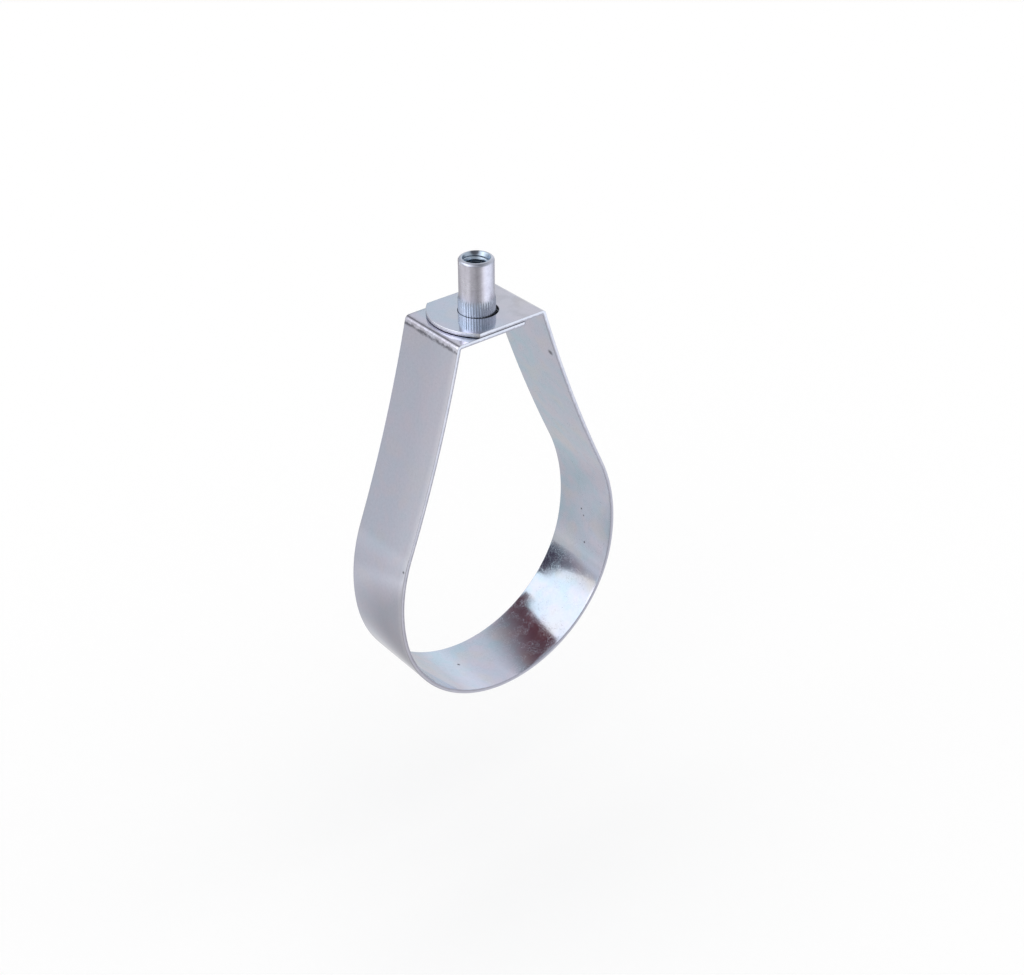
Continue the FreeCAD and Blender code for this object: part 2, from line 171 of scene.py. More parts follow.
class StageSettings(bpy.types.PropertyGroup):
    """Where the camera stands, how high the ring hangs, and the studio's colours."""

    azimuth: angle("Azimuth", "Turn of the camera to the left of the front", -38.929)
    elevation: angle("Elevation", "Height of the camera above the horizon", 32.746)
    roll: angle("Roll", "Tilt of the camera about its own view", -0.117)
    distance: length("Distance", "From the camera to the ring's middle, along its view", 683.54 * MM)
    focal_pixels: pixels("Focal length", "Focal length, in pixels", 1705.86)
    aim_column: pixels("Aim column", "Where the photograph has the point under the tabs' middle", 479.145)
    aim_row: pixels("Aim row", "Where it has that point, at the pipe's height", 560.88)
    hanging_height: length("Height", "Height of the ring's lowest point over the floor", 90.0 * MM)
    floor_colour: colour("Floor", "Colour of the floor", (0.80, 0.80, 0.81))
    sky_level: share("Studio", "Brightness of the plain studio light", 1.0)
    card_colour: colour("Light card", "Light that shows as a bright patch in the seat", (1.47, 1.545, 1.56))
    dark_colour: colour("Dark end", "Unlit end of the studio that shows in the seat", (0.135, 0.044, 0.056))
    dusk_colour: colour("Dim border", "Where the unlit end passes into the light", (0.07, 0.045, 0.075))


# The photograph's frame, in pixels.
PHOTO_WIDTH = 1024
PHOTO_HEIGHT = 975


class Reading:
    """A node's output, on which the usual signs add Math nodes."""

    def __init__(self, finish, socket):
        self.finish = finish
        self.socket = socket

    def combined(self, operation, first, second):
        return self.finish.node("ShaderNodeMath", {"operation": operation}, {0: first, 1: second})

    def __add__(self, other):
        return self.combined("ADD", self, other)

    def __sub__(self, other):
        return self.combined("SUBTRACT", self, other)

    def __rsub__(self, other):
        return self.combined("SUBTRACT", other, self)

    def __mul__(self, other):
        return self.combined("MULTIPLY", self, other)

    def __abs__(self):
        return self.combined("ABSOLUTE", self, 0)

    def rising(self, low, high):
        """0 below low and 1 above high, with a smooth rise between, or a fall where high is the lower."""
        sockets = {"Value": self, "From Min": low, "From Max": high}
        return self.finish.node("ShaderNodeMapRange", {"interpolation_type": "SMOOTHSTEP"}, sockets)

    def band(self, middle, half_width, flat):
        """1 at a middle and up to flat away from it, then a smooth fall to 0 at half the band's width."""
        return abs(self - middle).rising(half_width, flat)

    __radd__ = __add__
    __rmul__ = __mul__


class Finish:
    """A node tree that is being filled, for a material or for the world."""

    def __init__(self, tree):
        self.tree = tree
        tree.nodes.clear()

    def node(self, kind, settings=None, sockets=None, output=0):
        """Adds a node: its settings come first, then values or links for its sockets."""
        node = self.tree.nodes.new(kind)
        for name, value in (settings or {}).items():
            if name == "stops":
                self.set_stops(node.color_ramp, value)
            else:
                setattr(node, name, value)
        for name, value in (sockets or {}).items():
            if isinstance(value, Reading):
                self.tree.links.new(value.socket, node.inputs[name])
            else:
                node.inputs[name].default_value = value
        return Reading(self, node.outputs[output]) if node.outputs else None

    def set_stops(self, ramp, stops):
        while len(ramp.elements) < len(stops):
            ramp.elements.new(1)
        for element, (position, shade) in zip(ramp.elements, stops):
            element.position = position
            element.color = shade

    def place(self):
        """The point on the piece, in metres, in the part's own frame."""
        return self.node("ShaderNodeTexCoord", output="Object")

    def axes(self, point):
        """The three numbers of a point."""
        split = self.node("ShaderNodeSeparateXYZ", {}, {"Vector": point})
        return [Reading(self, socket) for socket in split.socket.node.outputs]

    def point(self, x, y, z):
        return self.node("ShaderNodeCombineXYZ", {}, {"X": x, "Y": y, "Z": z})

    def attribute(self, name):
        """A number that the mesh carries."""
        return self.node("ShaderNodeAttribute", {"attribute_name": name}, output="Fac")

    def noise(self, point, scale, detail=2.0, roughness=0.5, distortion=0.0):
        """Soft noise between 0 and 1, with so many lumps to the metre."""
        sockets = {"Vector": point, "Scale": scale, "Detail": detail}
        sockets.update({"Roughness": roughness, "Distortion": distortion})
        return self.node("ShaderNodeTexNoise", {}, sockets)

    def stretched(self, point, by):
        """The point with each axis multiplied, so that a pattern is drawn out along the smallest."""
        return self.node("ShaderNodeVectorMath", {"operation": "MULTIPLY"}, {0: point, 1: by})

    def distance(self, point, centre):
        """How far a point lies from a centre."""
        return self.node("ShaderNodeVectorMath", {"operation": "DISTANCE"}, {0: point, 1: centre}, output=1)

    def blended(self, amount, first, second):
        """A colour between two, by an amount from 0 to 1."""
        base, other = (as_shade(value) for value in (first, second))
        return self.node("ShaderNodeMix", {"data_type": "RGBA"}, {0: amount, 6: base, 7: other}, output=2)

    def layered(self, shade, layers):
        """A colour with others laid over it in turn, as (amount, colour)."""
        for amount, other in layers:
            shade = self.blended(amount, shade, other)
        return shade

    def multiplied(self, first, second):
        """Two colours multiplied."""
        settings = {"data_type": "RGBA", "blend_type": "MULTIPLY"}
        base, other = (as_shade(value) for value in (first, second))
        return self.node("ShaderNodeMix", settings, {0: 1.0, 6: base, 7: other}, output=2)

    def levels(self, place, levels):
        """Greys that pass through (position, level) stops."""
        stops = [(position, (level, level, level, 1.0)) for position, level in levels]
        return self.node("ShaderNodeValToRGB", {"stops": stops}, {"Fac": place})

    def bump(self, height, distance, below=None):
        """Relief whose height is so many metres where the reading is 1."""
        sockets = {"Height": height, "Distance": distance, "Strength": 1.0}
        if below:
            sockets["Normal"] = below
        return self.node("ShaderNodeBump", {}, sockets)

    def glow(self, light):
        """A surface that only gives off light."""
        return self.node("ShaderNodeEmission", {}, {"Color": light})

    def join(self, surface):
        """Joins a surface to the material's output."""
        self.node("ShaderNodeOutputMaterial", {}, {"Surface": surface})


def as_shade(value):
    """A colour as a socket takes it, with its fourth number."""
    if isinstance(value, Reading):
        return value
    return (*value[:3], 1.0)


def new_material(name):
    """An empty node material, as the finish that fills it."""
    material = bpy.data.materials.new(name)
    material.use_nodes = True
    return material, Finish(material.node_tree)


def metal(finish, base, roughness, normal):
    """The surface of plated metal, joined to the material's output."""
    sockets = {"Base Color": base, "Metallic": 1.0, "Roughness": roughness, "Normal": normal}
    finish.join(finish.node("ShaderNodeBsdfPrincipled", {}, sockets))


def from_axis(finish, place):
    """How far a point lies from the swivel axis."""
    return finish.distance(place, finish.point(SWIVEL_X, 0.0, finish.axes(place)[2]))


def strip_point(finish):
    """A point of the flattened strip: along it, across it, and which skin it is on."""
    across = finish.axes(finish.place())[1]
    return finish.point(finish.attribute("along"), across, finish.attribute("skin"))


# Where the plating's tints, and the painted sheen and highlight along the front, start and are full. These
# run across the strip, positive to its back.
BLUE_SIDE = (-6 * MM, 10 * MM)
PAINTED_SHEEN_SIDE = (2 * MM, -14 * MM)
PAINTED_HIGHLIGHT_STRIPE = (-12.5 * MM, -15.5 * MM)

# These run along it, with the upper tab before 0.
PAST_TAB = (0.0, 3 * MM)
TIP_BLUE = (-14 * MM, -27 * MM)
ROOT_STRAW = (-22 * MM, -6 * MM)

# The stretch of the legs that is less rosy, as (height, half of it, half of its full middle).
LESS_ROSY = (38 * MM, 30 * MM, 8 * MM)


def zinc_tints(finish, point, colours):
    """The plating's colour: soft bands and patches of blue, pink and straw, darker patches towards the upper
    tab's root, and a painted sheen and highlight that make it lighter along the front.
    """
    along, across, skin = finish.axes(point)
    height = finish.axes(finish.place())[2]
    slanted = finish.point(along * 75.0 + across * 50.0, across * 25.0 - along * 12.0, skin * 7.0)
    bands = finish.noise(slanted, 1.0, 1.0)
    patches = finish.noise(point, 150.0, 1.0)
    mottle = bands * 0.5 + patches * 0.5
    straw = finish.noise(finish.stretched(point, (1.0, 0.8, 3.0)), 90.0, 1.0).rising(0.5, 0.68)
    grain = finish.noise(point, 830.0, 1.0) * 0.6 + finish.noise(point, 2000.0, 1.0) * 0.4
    past_tab = along.rising(*PAST_TAB)
    outside = 1.0 - skin
    rest = past_tab * outside
    tab = (1.0 - past_tab) * outside
    tip_blue = along.rising(*TIP_BLUE) * tab * 0.15
    to_root = along.rising(*ROOT_STRAW) * tab
    blue_side = across.rising(*BLUE_SIDE) * (skin * 0.35 + 0.15)
    # The pale side and the front stripe are a painted sheen and a painted highlight, lighter towards the
    # strip's front.
    painted_front_sheen = across.rising(*PAINTED_SHEEN_SIDE) * rest
    front = across.rising(*PAINTED_HIGHLIGHT_STRIPE) * rest
    return finish.layered(colours.plain, (
        (mottle.rising(0.5, 0.62) * (skin * 0.25 + 0.35) + blue_side + tip_blue, colours.cool),
        (mottle.rising(0.5, 0.38) * (skin * 0.15 + 0.45), colours.rosy),
        (straw * (skin * 0.2 + 0.35) + to_root * 0.5, colours.straw),
        (rest * (0.4 - height.band(*LESS_ROSY) * 0.25), colours.rosy),
        (painted_front_sheen * 0.14 + front * 0.25, colours.rubbed),
        (to_root * (patches.rising(0.4, 0.6) * 0.2 + 0.06), colours.torn),
        (grain.rising(0.35, 0.7) * 0.05, colours.pit),
    ))


# The marks of the bending tool, as (middle, half width, half of the full middle), down from the lower tab's
# root, how much the ragged ones stray in all, and where the lower tab's blue tint starts and is full.
CREASE = (1.1 * MM, 0.6 * MM, 0.0)
# The rubbed band is partly zinc rubbed by the tool and partly a painted highlight along the fold.
RUBBED_AND_HIGHLIGHT = (2.4 * MM, 1.0 * MM, 0.5 * MM)
WORN = (2.3 * MM, 2.6 * MM, 1.3 * MM)
DRAG_LINE = (3.75 * MM, 0.95 * MM, 0.0)
RAGGED_BY = 1.8 * MM
LOWER_TAB_BLUE = (-1 * MM, -4 * MM)


def fold_marks(finish, point, shade, colours, from_root):
    """A crease, a band rubbed bright that is partly a painted highlight, a worn band and a broken dark line
    across the fold. Returns the colour, and the wear.
    """
    outside = 1.0 - finish.attribute("skin")
    broken = finish.noise(point, 420.0, 2.0, 0.6)
    gaps = finish.noise(point, 260.0, 3.0, 0.7).rising(0.38, 0.56)
    ragged = from_root + (broken - 0.5) * RAGGED_BY
    worn = from_root.band(*WORN) * outside
    marked = finish.layered(shade, (
        (ragged.band(*RUBBED_AND_HIGHLIGHT) * outside * 0.15, colours.rubbed),
        (worn * (broken.rising(0.42, 0.6) * 0.4 + 0.12), colours.torn),
        (from_root.rising(*LOWER_TAB_BLUE) * outside * 0.6, colours.cool),
        (from_root.band(*CREASE) * outside * 0.8, colours.pit),
        (ragged.band(*DRAG_LINE) * outside * (gaps * 0.45 + 0.4), colours.pit),
    ))
    return marked, worn


# Pits and specks on the strip, as (x, y, z, radius) in millimetres.
PITS = (
    (21.4, -12.7, 91.2, 1.8),
    (52.1, 2.2, 0.6, 0.65),
    (52.0, 0.6, -2.0, 0.5),
    (50.2, -2.3, -13.2, 0.7),
    (-13.2, 3.1, -50.2, 0.95),
    (-50.9, -14.6, 23.5, 0.8),
)


def pit_mask(finish):
    """1 inside each of the few dark pits, and 0 elsewhere."""
    place = finish.place()
    mask = 0.0
    for x, y, z, radius in PITS:
        away = finish.distance(place, (x * MM, y * MM, z * MM))
        mask = away.rising(radius * MM, 0.2 * radius * MM) + mask
    return mask


def rolled_zinc(colours, strip):
    """Bright zinc over rolled strip: a near mirror with faint lengthwise lines, frosty marks and pits."""
    material, finish = new_material("rolled_zinc")
    point = strip_point(finish)
    lines = finish.noise(finish.stretched(point, (6.0, 700.0, 1.0)), 1.0, 3.0, 0.6)
    grain = finish.noise(point, 2600.0, 1.0)
    waves = finish.noise(finish.stretched(point, (1.0, 0.7, 1.0)), 65.0, 1.0)
    curls = finish.noise(point, 1000.0, 1.0, 0.5, 1.5).band(0.5, 0.03, 0.006)
    inside = finish.attribute("skin") * 0.8 + 0.2
    frost = curls * finish.noise(point, 190.0, 2.0).rising(0.42, 0.56) * inside
    pits = pit_mask(finish)
    from_root = strip - finish.attribute("along")
    shade, worn = fold_marks(finish, point, zinc_tints(finish, point, colours), colours, from_root)
    shade = finish.blended(pits * 0.8, shade, colours.pit)
    roughness = finish.noise(point, 45.0, 2.0) * 0.04 + 0.055 + lines * 0.03 + frost * 0.26 + pits * 0.3
    roughness = roughness + worn * (grain * 0.1 + 0.2)
    relief = finish.bump(waves, 0.03 * MM)
    relief = finish.bump(lines * 0.3 + grain * 0.6 - frost * 0.15 - pits * 6.0, 0.004 * MM, relief)
    metal(finish, shade, roughness, relief)
    return material


# On the cut edges: the painted shade inside the hole, by distance from the axis, and the heights over which
# a painted shade darkens them downwards and a painted highlight turns them bright towards the tabs.
HOLE_PAINTED_SHADE = (9.5 * MM, 8.55 * MM)
EDGE_PAINTED_SHADE = (118 * MM, -20 * MM)
EDGE_PAINTED_HIGHLIGHT = (105 * MM, 109 * MM)


def sheared_zinc(colours):
    """Zinc over the strip's cut edges: burnished bright by the shear and torn on their lower half, with a
    painted shade lower down and inside the hole, and a painted highlight near the tabs.
    """
    material, finish = new_material("sheared_zinc")
    place = finish.place()
    height = finish.axes(place)[2]
    ragged = finish.noise(place, 900.0, 2.0, 0.6)
    wear = finish.noise(place, 160.0, 2.0)
    torn = (finish.attribute("skin") + (ragged - 0.5) * 0.5).rising(0.45, 0.75)
    shade = finish.layered(colours.sheared, (
        (wear.rising(0.35, 0.7) * 0.3, colours.plain),
        # Painted shade lower down, a painted highlight near the tabs, and painted shade inside the hole.
        (height.rising(*EDGE_PAINTED_SHADE) * 0.7, colours.torn),
        (height.rising(*EDGE_PAINTED_HIGHLIGHT) * 0.6, finish.blended(0.3, colours.rubbed, colours.cool)),
        (torn * 0.7, colours.torn),
        (from_axis(finish, place).rising(*HOLE_PAINTED_SHADE) * 0.9, colours.pit),
    ))
    metal(finish, shade, torn * 0.1 + wear * 0.12 + 0.32, finish.bump(ragged, 0.03 * MM))
    return material


# On the nut: the bore's tint by distance from the axis, the rim's painted bluish and dark reflection by
# height, the middle of the painted dark reflection spot at the rim's back and its edge round that, and the
# knurl's tint by height over the knurl's top.
BORE_EDGE = (5.52 * MM, 5.42 * MM)
RIM_EDGE = (131.6 * MM, 132.4 * MM)
DARK_REFLECTION_AT = (-0.2 * MM, 4.9 * MM, 132.9 * MM)
DARK_REFLECTION_EDGE = (2.3 * MM, 1.3 * MM)
KNURL_EDGE = (0.4 * MM, -1.5 * MM)


def turned_zinc(colours, knurl_top):
    """Zinc over turned steel: fine rings round the axis, a tinted knurl with painted shade in its grooves, a
    rim with a painted bluish and dark reflection and a painted dark spot at its back, and a blue bore.
    """
    material, finish = new_material("turned_zinc")
    place = finish.place()
    height = finish.axes(place)[2]
    rings = finish.noise(finish.stretched(place, (40.0, 40.0, 4200.0)), 1.0, 2.0, 0.6)
    blotches = finish.noise(place, 260.0, 3.0)
    uneven = finish.noise(place, 330.0, 1.0).rising(0.42, 0.62)
    specks = finish.noise(place, 900.0, 1.0).rising(0.4, 0.75)
    on_knurl = (height - knurl_top).rising(*KNURL_EDGE)
    in_bore = from_axis(finish, place).rising(*BORE_EDGE)
    on_rim = height.rising(*RIM_EDGE) * (1.0 - in_bore)
    # Of these layers, the rim's two paint a bluish and a dark reflection, the knurl's grooves get a painted
    # shade, and the spot at the end paints a dark reflection.
    shade = finish.layered(colours.turned, (
        (blotches.rising(0.4, 0.65) * 0.35, colours.rosy),
        (on_knurl * 0.7, finish.blended(0.35, colours.cool, colours.straw)),
        (on_rim * 0.3, colours.cool),
        (on_rim * 0.25, colours.groove),
        (in_bore * 0.9, colours.bore),
        (specks * 0.1, colours.pit),
        (finish.attribute("groove") * (uneven * 0.6 + 0.02), colours.groove),
        (finish.distance(place, DARK_REFLECTION_AT).rising(*DARK_REFLECTION_EDGE) * 0.85, colours.pit),
    ))
    roughness = rings * 0.1 + blotches * 0.08 + 0.2
    metal(finish, shade, roughness, finish.bump(rings * 0.6 + blotches * 0.4, 0.01 * MM))
    return material


def turn_about(centre, start, end):
    """The angle from one point to another about a centre, positive from +Z towards +X."""
    first = start - centre
    last = end - centre
    return math.atan2(first.z * last.x - first.x * last.z, first.x * last.x + first.z * last.z)


def meeting_point(first, first_reach, second, second_reach, side):
    """The point at given distances from two centres, on the right of the pair for side 1."""
    span = (second - first).length
    along = (first_reach ** 2 - second_reach ** 2 + span ** 2) / (2 * span)
    across = math.sqrt(first_reach ** 2 - along ** 2)
    direction = (second - first).normalized()
    return first + direction * along + Vector((direction.z, 0, -direction.x)) * across * side


def folds_middle(sizes):
    """The place along X of the middle between the two folds."""
    return SWIVEL_X - sizes.hole_shift


def side_arcs(sizes, side):
    """The strip's outside on one side, from its tab down to the seat, as (centre, start, end)."""
    drop = 0 if side > 0 else sizes.thickness + sizes.tab_gap
    fold_outside = sizes.fold_radius + sizes.thickness
    shoulder_outside = sizes.shoulder_radius + sizes.thickness
    outward = Vector((side * math.sin(sizes.seat_half_angle), 0, -math.cos(sizes.seat_half_angle)))
    shoulder = outward * (sizes.seat_radius - sizes.shoulder_radius)
    fold = Vector((folds_middle(sizes) + side * sizes.fold_spread, 0, sizes.tab_top - drop - fold_outside))
    shoulder_to_bow = shoulder_outside + sizes.leg_bow_radius
    bow = meeting_point(shoulder, shoulder_to_bow, fold, fold_outside + sizes.leg_bow_radius, side)
    tab_start = fold + UP * fold_outside
    leg_start = fold + (bow - fold).normalized() * fold_outside
    leg_end = shoulder + (bow - shoulder).normalized() * shoulder_outside
    seat_start = outward * (sizes.seat_radius + sizes.thickness)
    return [(fold, tab_start, leg_start), (bow, leg_start, leg_end), (shoulder, leg_end, seat_start)]


def strip_arcs(sizes):
    """The strip's whole outside, from the upper tab down round the pipe and up to the lower tab."""
    right = side_arcs(sizes, 1)
    left = side_arcs(sizes, -1)
    seat = (Vector(), right[-1][2], left[-1][2])
    return right + [seat] + [(centre, end, start) for centre, start, end in reversed(left)]


def strip_length(sizes):
    """The strip's length over its bends, from one tab's root to the other's."""
    arcs = strip_arcs(sizes)
    return sum((start - centre).length * abs(turn_about(centre, start, end)) for centre, start, end in arcs)


def outline_reach(sizes, hole, direction):
    """How far a tab's outline lies from its hole's centre, in plan, with the tab's root on +X."""
    side = math.copysign(sizes.width / 2, direction.y)
    reaches = [(side - hole.y) / direction.y] if abs(direction.y) > TINY else []
    if direction.x > 0:
        reaches.append((sizes.fold_spread - hole.x) / max(direction.x, TINY))
    else:
        to_centre = Vector((sizes.tab_end_radius - sizes.tab_reach, 0, 0)) - hole
        along = direction.dot(to_centre)
        reaches.append(along + math.sqrt(along ** 2 - to_centre.length_squared + sizes.tab_end_radius ** 2))
    return min(reaches)


def bearing(direction):
    """The angle of a direction in plan, from +X towards +Y."""
    return math.atan2(direction.y, direction.x)


def vertices_in(geometry):
    return [item for item in geometry if isinstance(item, bmesh.types.BMVert)]


def edges_in(geometry):
    return [item for item in geometry if isinstance(item, bmesh.types.BMEdge)]


# Faces across a tab's root, along its back side, round its end and along its front side.
TAB_STEPS = (20, 20, 30, 20)

# The fewest faces along a bend.
LEAST_STEPS = 12

# Bevels: faces over a small rounding and over the nut's rim, and the profile that makes an arc.
ROUND_FACES = 3
RIM_FACES = 7
ARC = 0.5


def lay_tab(mesh, sizes, hole, along):
    """Lays a tab's flat outside round its hole, with its root on +X. Returns its vertices, and its root."""
    laid = set(mesh.verts)
    half_width = sizes.width / 2
    end_depth = sizes.tab_end_radius - math.sqrt(sizes.tab_end_radius ** 2 - half_width ** 2)
    end_corner = end_depth - sizes.tab_reach
    places = (
        (sizes.fold_spread, -half_width), (sizes.fold_spread, half_width),
        (end_corner, half_width), (end_corner, -half_width), (sizes.fold_spread, -half_width),
    )
    corners = [Vector((*place, 0)) - hole for place in places]
    tip = [mesh.verts.new(hole + corners[0].normalized() * sizes.hole_radius)]
    for steps, first, last in zip(TAB_STEPS, corners, corners[1:]):
        turn = (bearing(last) - bearing(first)) % (2 * math.pi)
        spun = bmesh.ops.spin(mesh, geom=tip, cent=hole, axis=UP, angle=turn, steps=steps)
        tip = spun["geom_last"]
    bmesh.ops.remove_doubles(mesh, verts=[vertex for vertex in mesh.verts if vertex not in laid], dist=TINY)
    mouth = [edge for edge in mesh.edges if laid.isdisjoint(edge.verts)]
    collar = bmesh.ops.extrude_edge_only(mesh, edges=mouth)["geom"]
    for vertex in vertices_in(collar):
        vertex.co += (vertex.co - hole).normalized() * 2 * sizes.edge_round
    outline = bmesh.ops.extrude_edge_only(mesh, edges=edges_in(collar))["geom"]
    for vertex in vertices_in(outline):
        direction = (vertex.co - hole).normalized()
        vertex.co = hole + direction * outline_reach(sizes, hole, direction)
    root = [vertex for vertex in vertices_in(outline) if vertex.co.x > sizes.fold_spread - TINY]
    root.sort(key=lambda vertex: vertex.co.y)
    for place, vertex in enumerate(root):
        vertex.co.y = sizes.width * (place / (len(root) - 1) - 0.5)
    tab = [vertex for vertex in mesh.verts if vertex not in laid]
    for vertex in tab:
        vertex[along] = vertex.co.x - sizes.fold_spread
    return tab, root + [edge for edge in edges_in(outline) if all(vertex in root for vertex in edge.verts)]


def lay_strip(mesh, sizes):
    """Lays the strip's outside: a tab, the bends down to the seat and up again, and the lower tab."""
    along = mesh.verts.layers.float.new("along")
    middle = folds_middle(sizes)
    hole = Vector((sizes.hole_shift + sizes.slack_right, sizes.slack_back, 0))
    upper, tip = lay_tab(mesh, sizes, hole, along)
    bmesh.ops.translate(mesh, verts=upper, vec=(middle, 0, sizes.tab_top))
    lower, root = lay_tab(mesh, sizes, -hole, along)
    lower_top = sizes.tab_top - sizes.thickness - sizes.tab_gap
    bmesh.ops.rotate(mesh, verts=lower, matrix=Matrix.Rotation(math.pi, 3, "Z"))
    bmesh.ops.translate(mesh, verts=lower, vec=(middle, 0, lower_top))
    for vertex in lower:
        vertex[along] = strip_length(sizes) - vertex[along]
    travelled = 0.0
    for centre, start, end in strip_arcs(sizes):
        turn = turn_about(centre, start, end)
        radius = (start - centre).length
        steps = max(LEAST_STEPS, round(radius * abs(turn) / sizes.step))
        laid = len(mesh.verts)
        spun = bmesh.ops.spin(mesh, geom=tip, cent=centre, axis=(0, 1, 0), angle=turn, steps=steps)
        mesh.verts.ensure_lookup_table()
        for vertex in mesh.verts[laid:]:
            level = Vector((vertex.co.x, 0, vertex.co.z))
            vertex[along] = travelled + radius * abs(turn_about(centre, start, level))
        travelled += radius * abs(turn)
        tip = spun["geom_last"]
    bmesh.ops.remove_doubles(mesh, verts=mesh.verts[:], dist=WELD)


# What the skin attribute holds, and the strip's material slots.
OUTSIDE, INSIDE = 0.0, 1.0
FACE_MATERIAL, EDGE_MATERIAL = 0, 1


def thicken_strip(mesh, sizes):
    """Gives the strip its thickness, marks its skins and its cut edges, and rounds the edges."""
    skin = mesh.verts.layers.float.new("skin")
    bmesh.ops.recalc_face_normals(mesh, faces=mesh.faces[:])
    mesh.faces.ensure_lookup_table()
    if mesh.faces[0].normal.z < 0:
        bmesh.ops.reverse_faces(mesh, faces=mesh.faces[:])
    outside = set(mesh.verts)
    bmesh.ops.solidify(mesh, geom=mesh.faces[:], thickness=sizes.thickness)
    for vertex in mesh.verts:
        vertex[skin] = OUTSIDE if vertex in outside else INSIDE
    for face in mesh.faces:
        one_skin = len({vertex in outside for vertex in face.verts}) == 1
        face.material_index = FACE_MATERIAL if one_skin else EDGE_MATERIAL
    borders = [edge for edge in mesh.edges if len({face.material_index for face in edge.link_faces}) == 2]
    bmesh.ops.bevel(
        mesh, geom=borders, offset=sizes.edge_round, segments=ROUND_FACES, profile=ARC,
        affect="EDGES", material=-1, clamp_overlap=True,
    )
    bmesh.ops.recalc_face_normals(mesh, faces=mesh.faces[:])


def profile_wire(mesh, corners, rounds):
    """Draws a wire through (radius, height) corners, and rounds the ones with an (amount, faces) entry."""
    points = [mesh.verts.new((radius, 0, height)) for radius, height in corners]
    for first, second in zip(points, points[1:]):
        mesh.edges.new((first, second))
    for place, (amount, faces) in rounds.items():
        bmesh.ops.bevel(
            mesh, geom=[points[place]], offset=amount, segments=faces, profile=ARC, affect="VERTICES",
            material=-1,
        )


# The knurl: faces from groove to groove, how many make half a groove, and the range of depths, as shares.
KNURL_SAMPLES = 8
GROOVE_SAMPLES = 1.5
GROOVE_DEPTHS = (0.7, 1.0)
KNURL_SEED = 7

# The thread: its flanks' tilt, faces in a turn, cuts in each straight, and how many pitches below the foot
# it starts.
FLANK_ANGLE = math.radians(30)
THREAD_STEPS = 72
THREAD_CUTS = 2
THREAD_START = 1.9

# The bore's ends: rows of faces over the mouth's lip, and the least width of the flat land.
LIP_ROWS = 4
LAND_HOLD = 0.05 * MM


def lip_reach(sizes):
    """How far the mouth's rounding reaches from the corner that it takes off."""
    return sizes.mouth_lip / math.tan(math.pi / 4 + math.atan2(sizes.mouth_flare, sizes.mouth_depth) / 2)


def mouth_radius(sizes, depth):
    """The radius of the mouth's lip and of the cone below it, at a depth under the rim."""
    cone = sizes.thread_radius + sizes.mouth_flare * (1 - depth / sizes.mouth_depth)
    if depth >= lip_reach(sizes):
        return cone
    lip_centre = sizes.thread_radius + sizes.mouth_flare + lip_reach(sizes)
    lip = lip_centre - math.sqrt(sizes.mouth_lip ** 2 - (sizes.mouth_lip - max(depth, 0.0)) ** 2)
    return max(lip, cone)


def turn_outside(mesh, sizes):
    """Turns the nut's outside, from the land at its foot to the land round its mouth."""
    barrel = sizes.knurl_radius - sizes.knurl_step
    foot, mouth = NUT_LOW.z, NUT_HIGH.z
    flange_top = foot + sizes.flange_thickness
    foot_edge = sizes.thread_radius + sizes.foot_chamfer + LAND_HOLD
    mouth_edge = mouth_radius(sizes, 0) + LAND_HOLD
    corners = (
        (foot_edge, foot),
        (sizes.flange_radius, foot),
        (sizes.flange_radius, flange_top),
        (sizes.knurl_radius, flange_top),
        (sizes.knurl_radius, sizes.knurl_top - sizes.knurl_run_out),
        (barrel, sizes.knurl_top),
        (barrel, mouth),
        (mouth_edge, mouth),
    )
    flange_edge = (sizes.flange_round, ROUND_FACES)
    profile_wire(mesh, corners, {1: flange_edge, 2: flange_edge, 6: (sizes.rim_round, RIM_FACES)})
    steps = sizes.knurl_grooves * KNURL_SAMPLES
    profile = mesh.verts[:] + mesh.edges[:]
    bmesh.ops.spin(mesh, geom=profile, axis=UP, angle=2 * math.pi, steps=steps, use_merge=True)


def cut_knurl(mesh, sizes):
    """Sinks the knurl's grooves, each a little deeper or shallower than the next."""
    groove = mesh.verts.layers.float.new("groove")
    draw = random.Random(KNURL_SEED)
    depths = [sizes.knurl_depth * draw.uniform(*GROOVE_DEPTHS) for number in range(sizes.knurl_grooves)]
    for vertex in mesh.verts:
        radius = math.hypot(vertex.co.x, vertex.co.y)
        if abs(radius - sizes.knurl_radius) > TINY:
            continue
        turns = math.atan2(vertex.co.y, vertex.co.x) / (2 * math.pi) % 1 * sizes.knurl_grooves
        number = round(turns) % sizes.knurl_grooves
        sink = max(0.0, 1.0 - abs(turns - round(turns)) * KNURL_SAMPLES / GROOVE_SAMPLES)
        vertex[groove] = sink
        sunk = (radius - sink * depths[number]) / radius
        vertex.co.x *= sunk
        vertex.co.y *= sunk


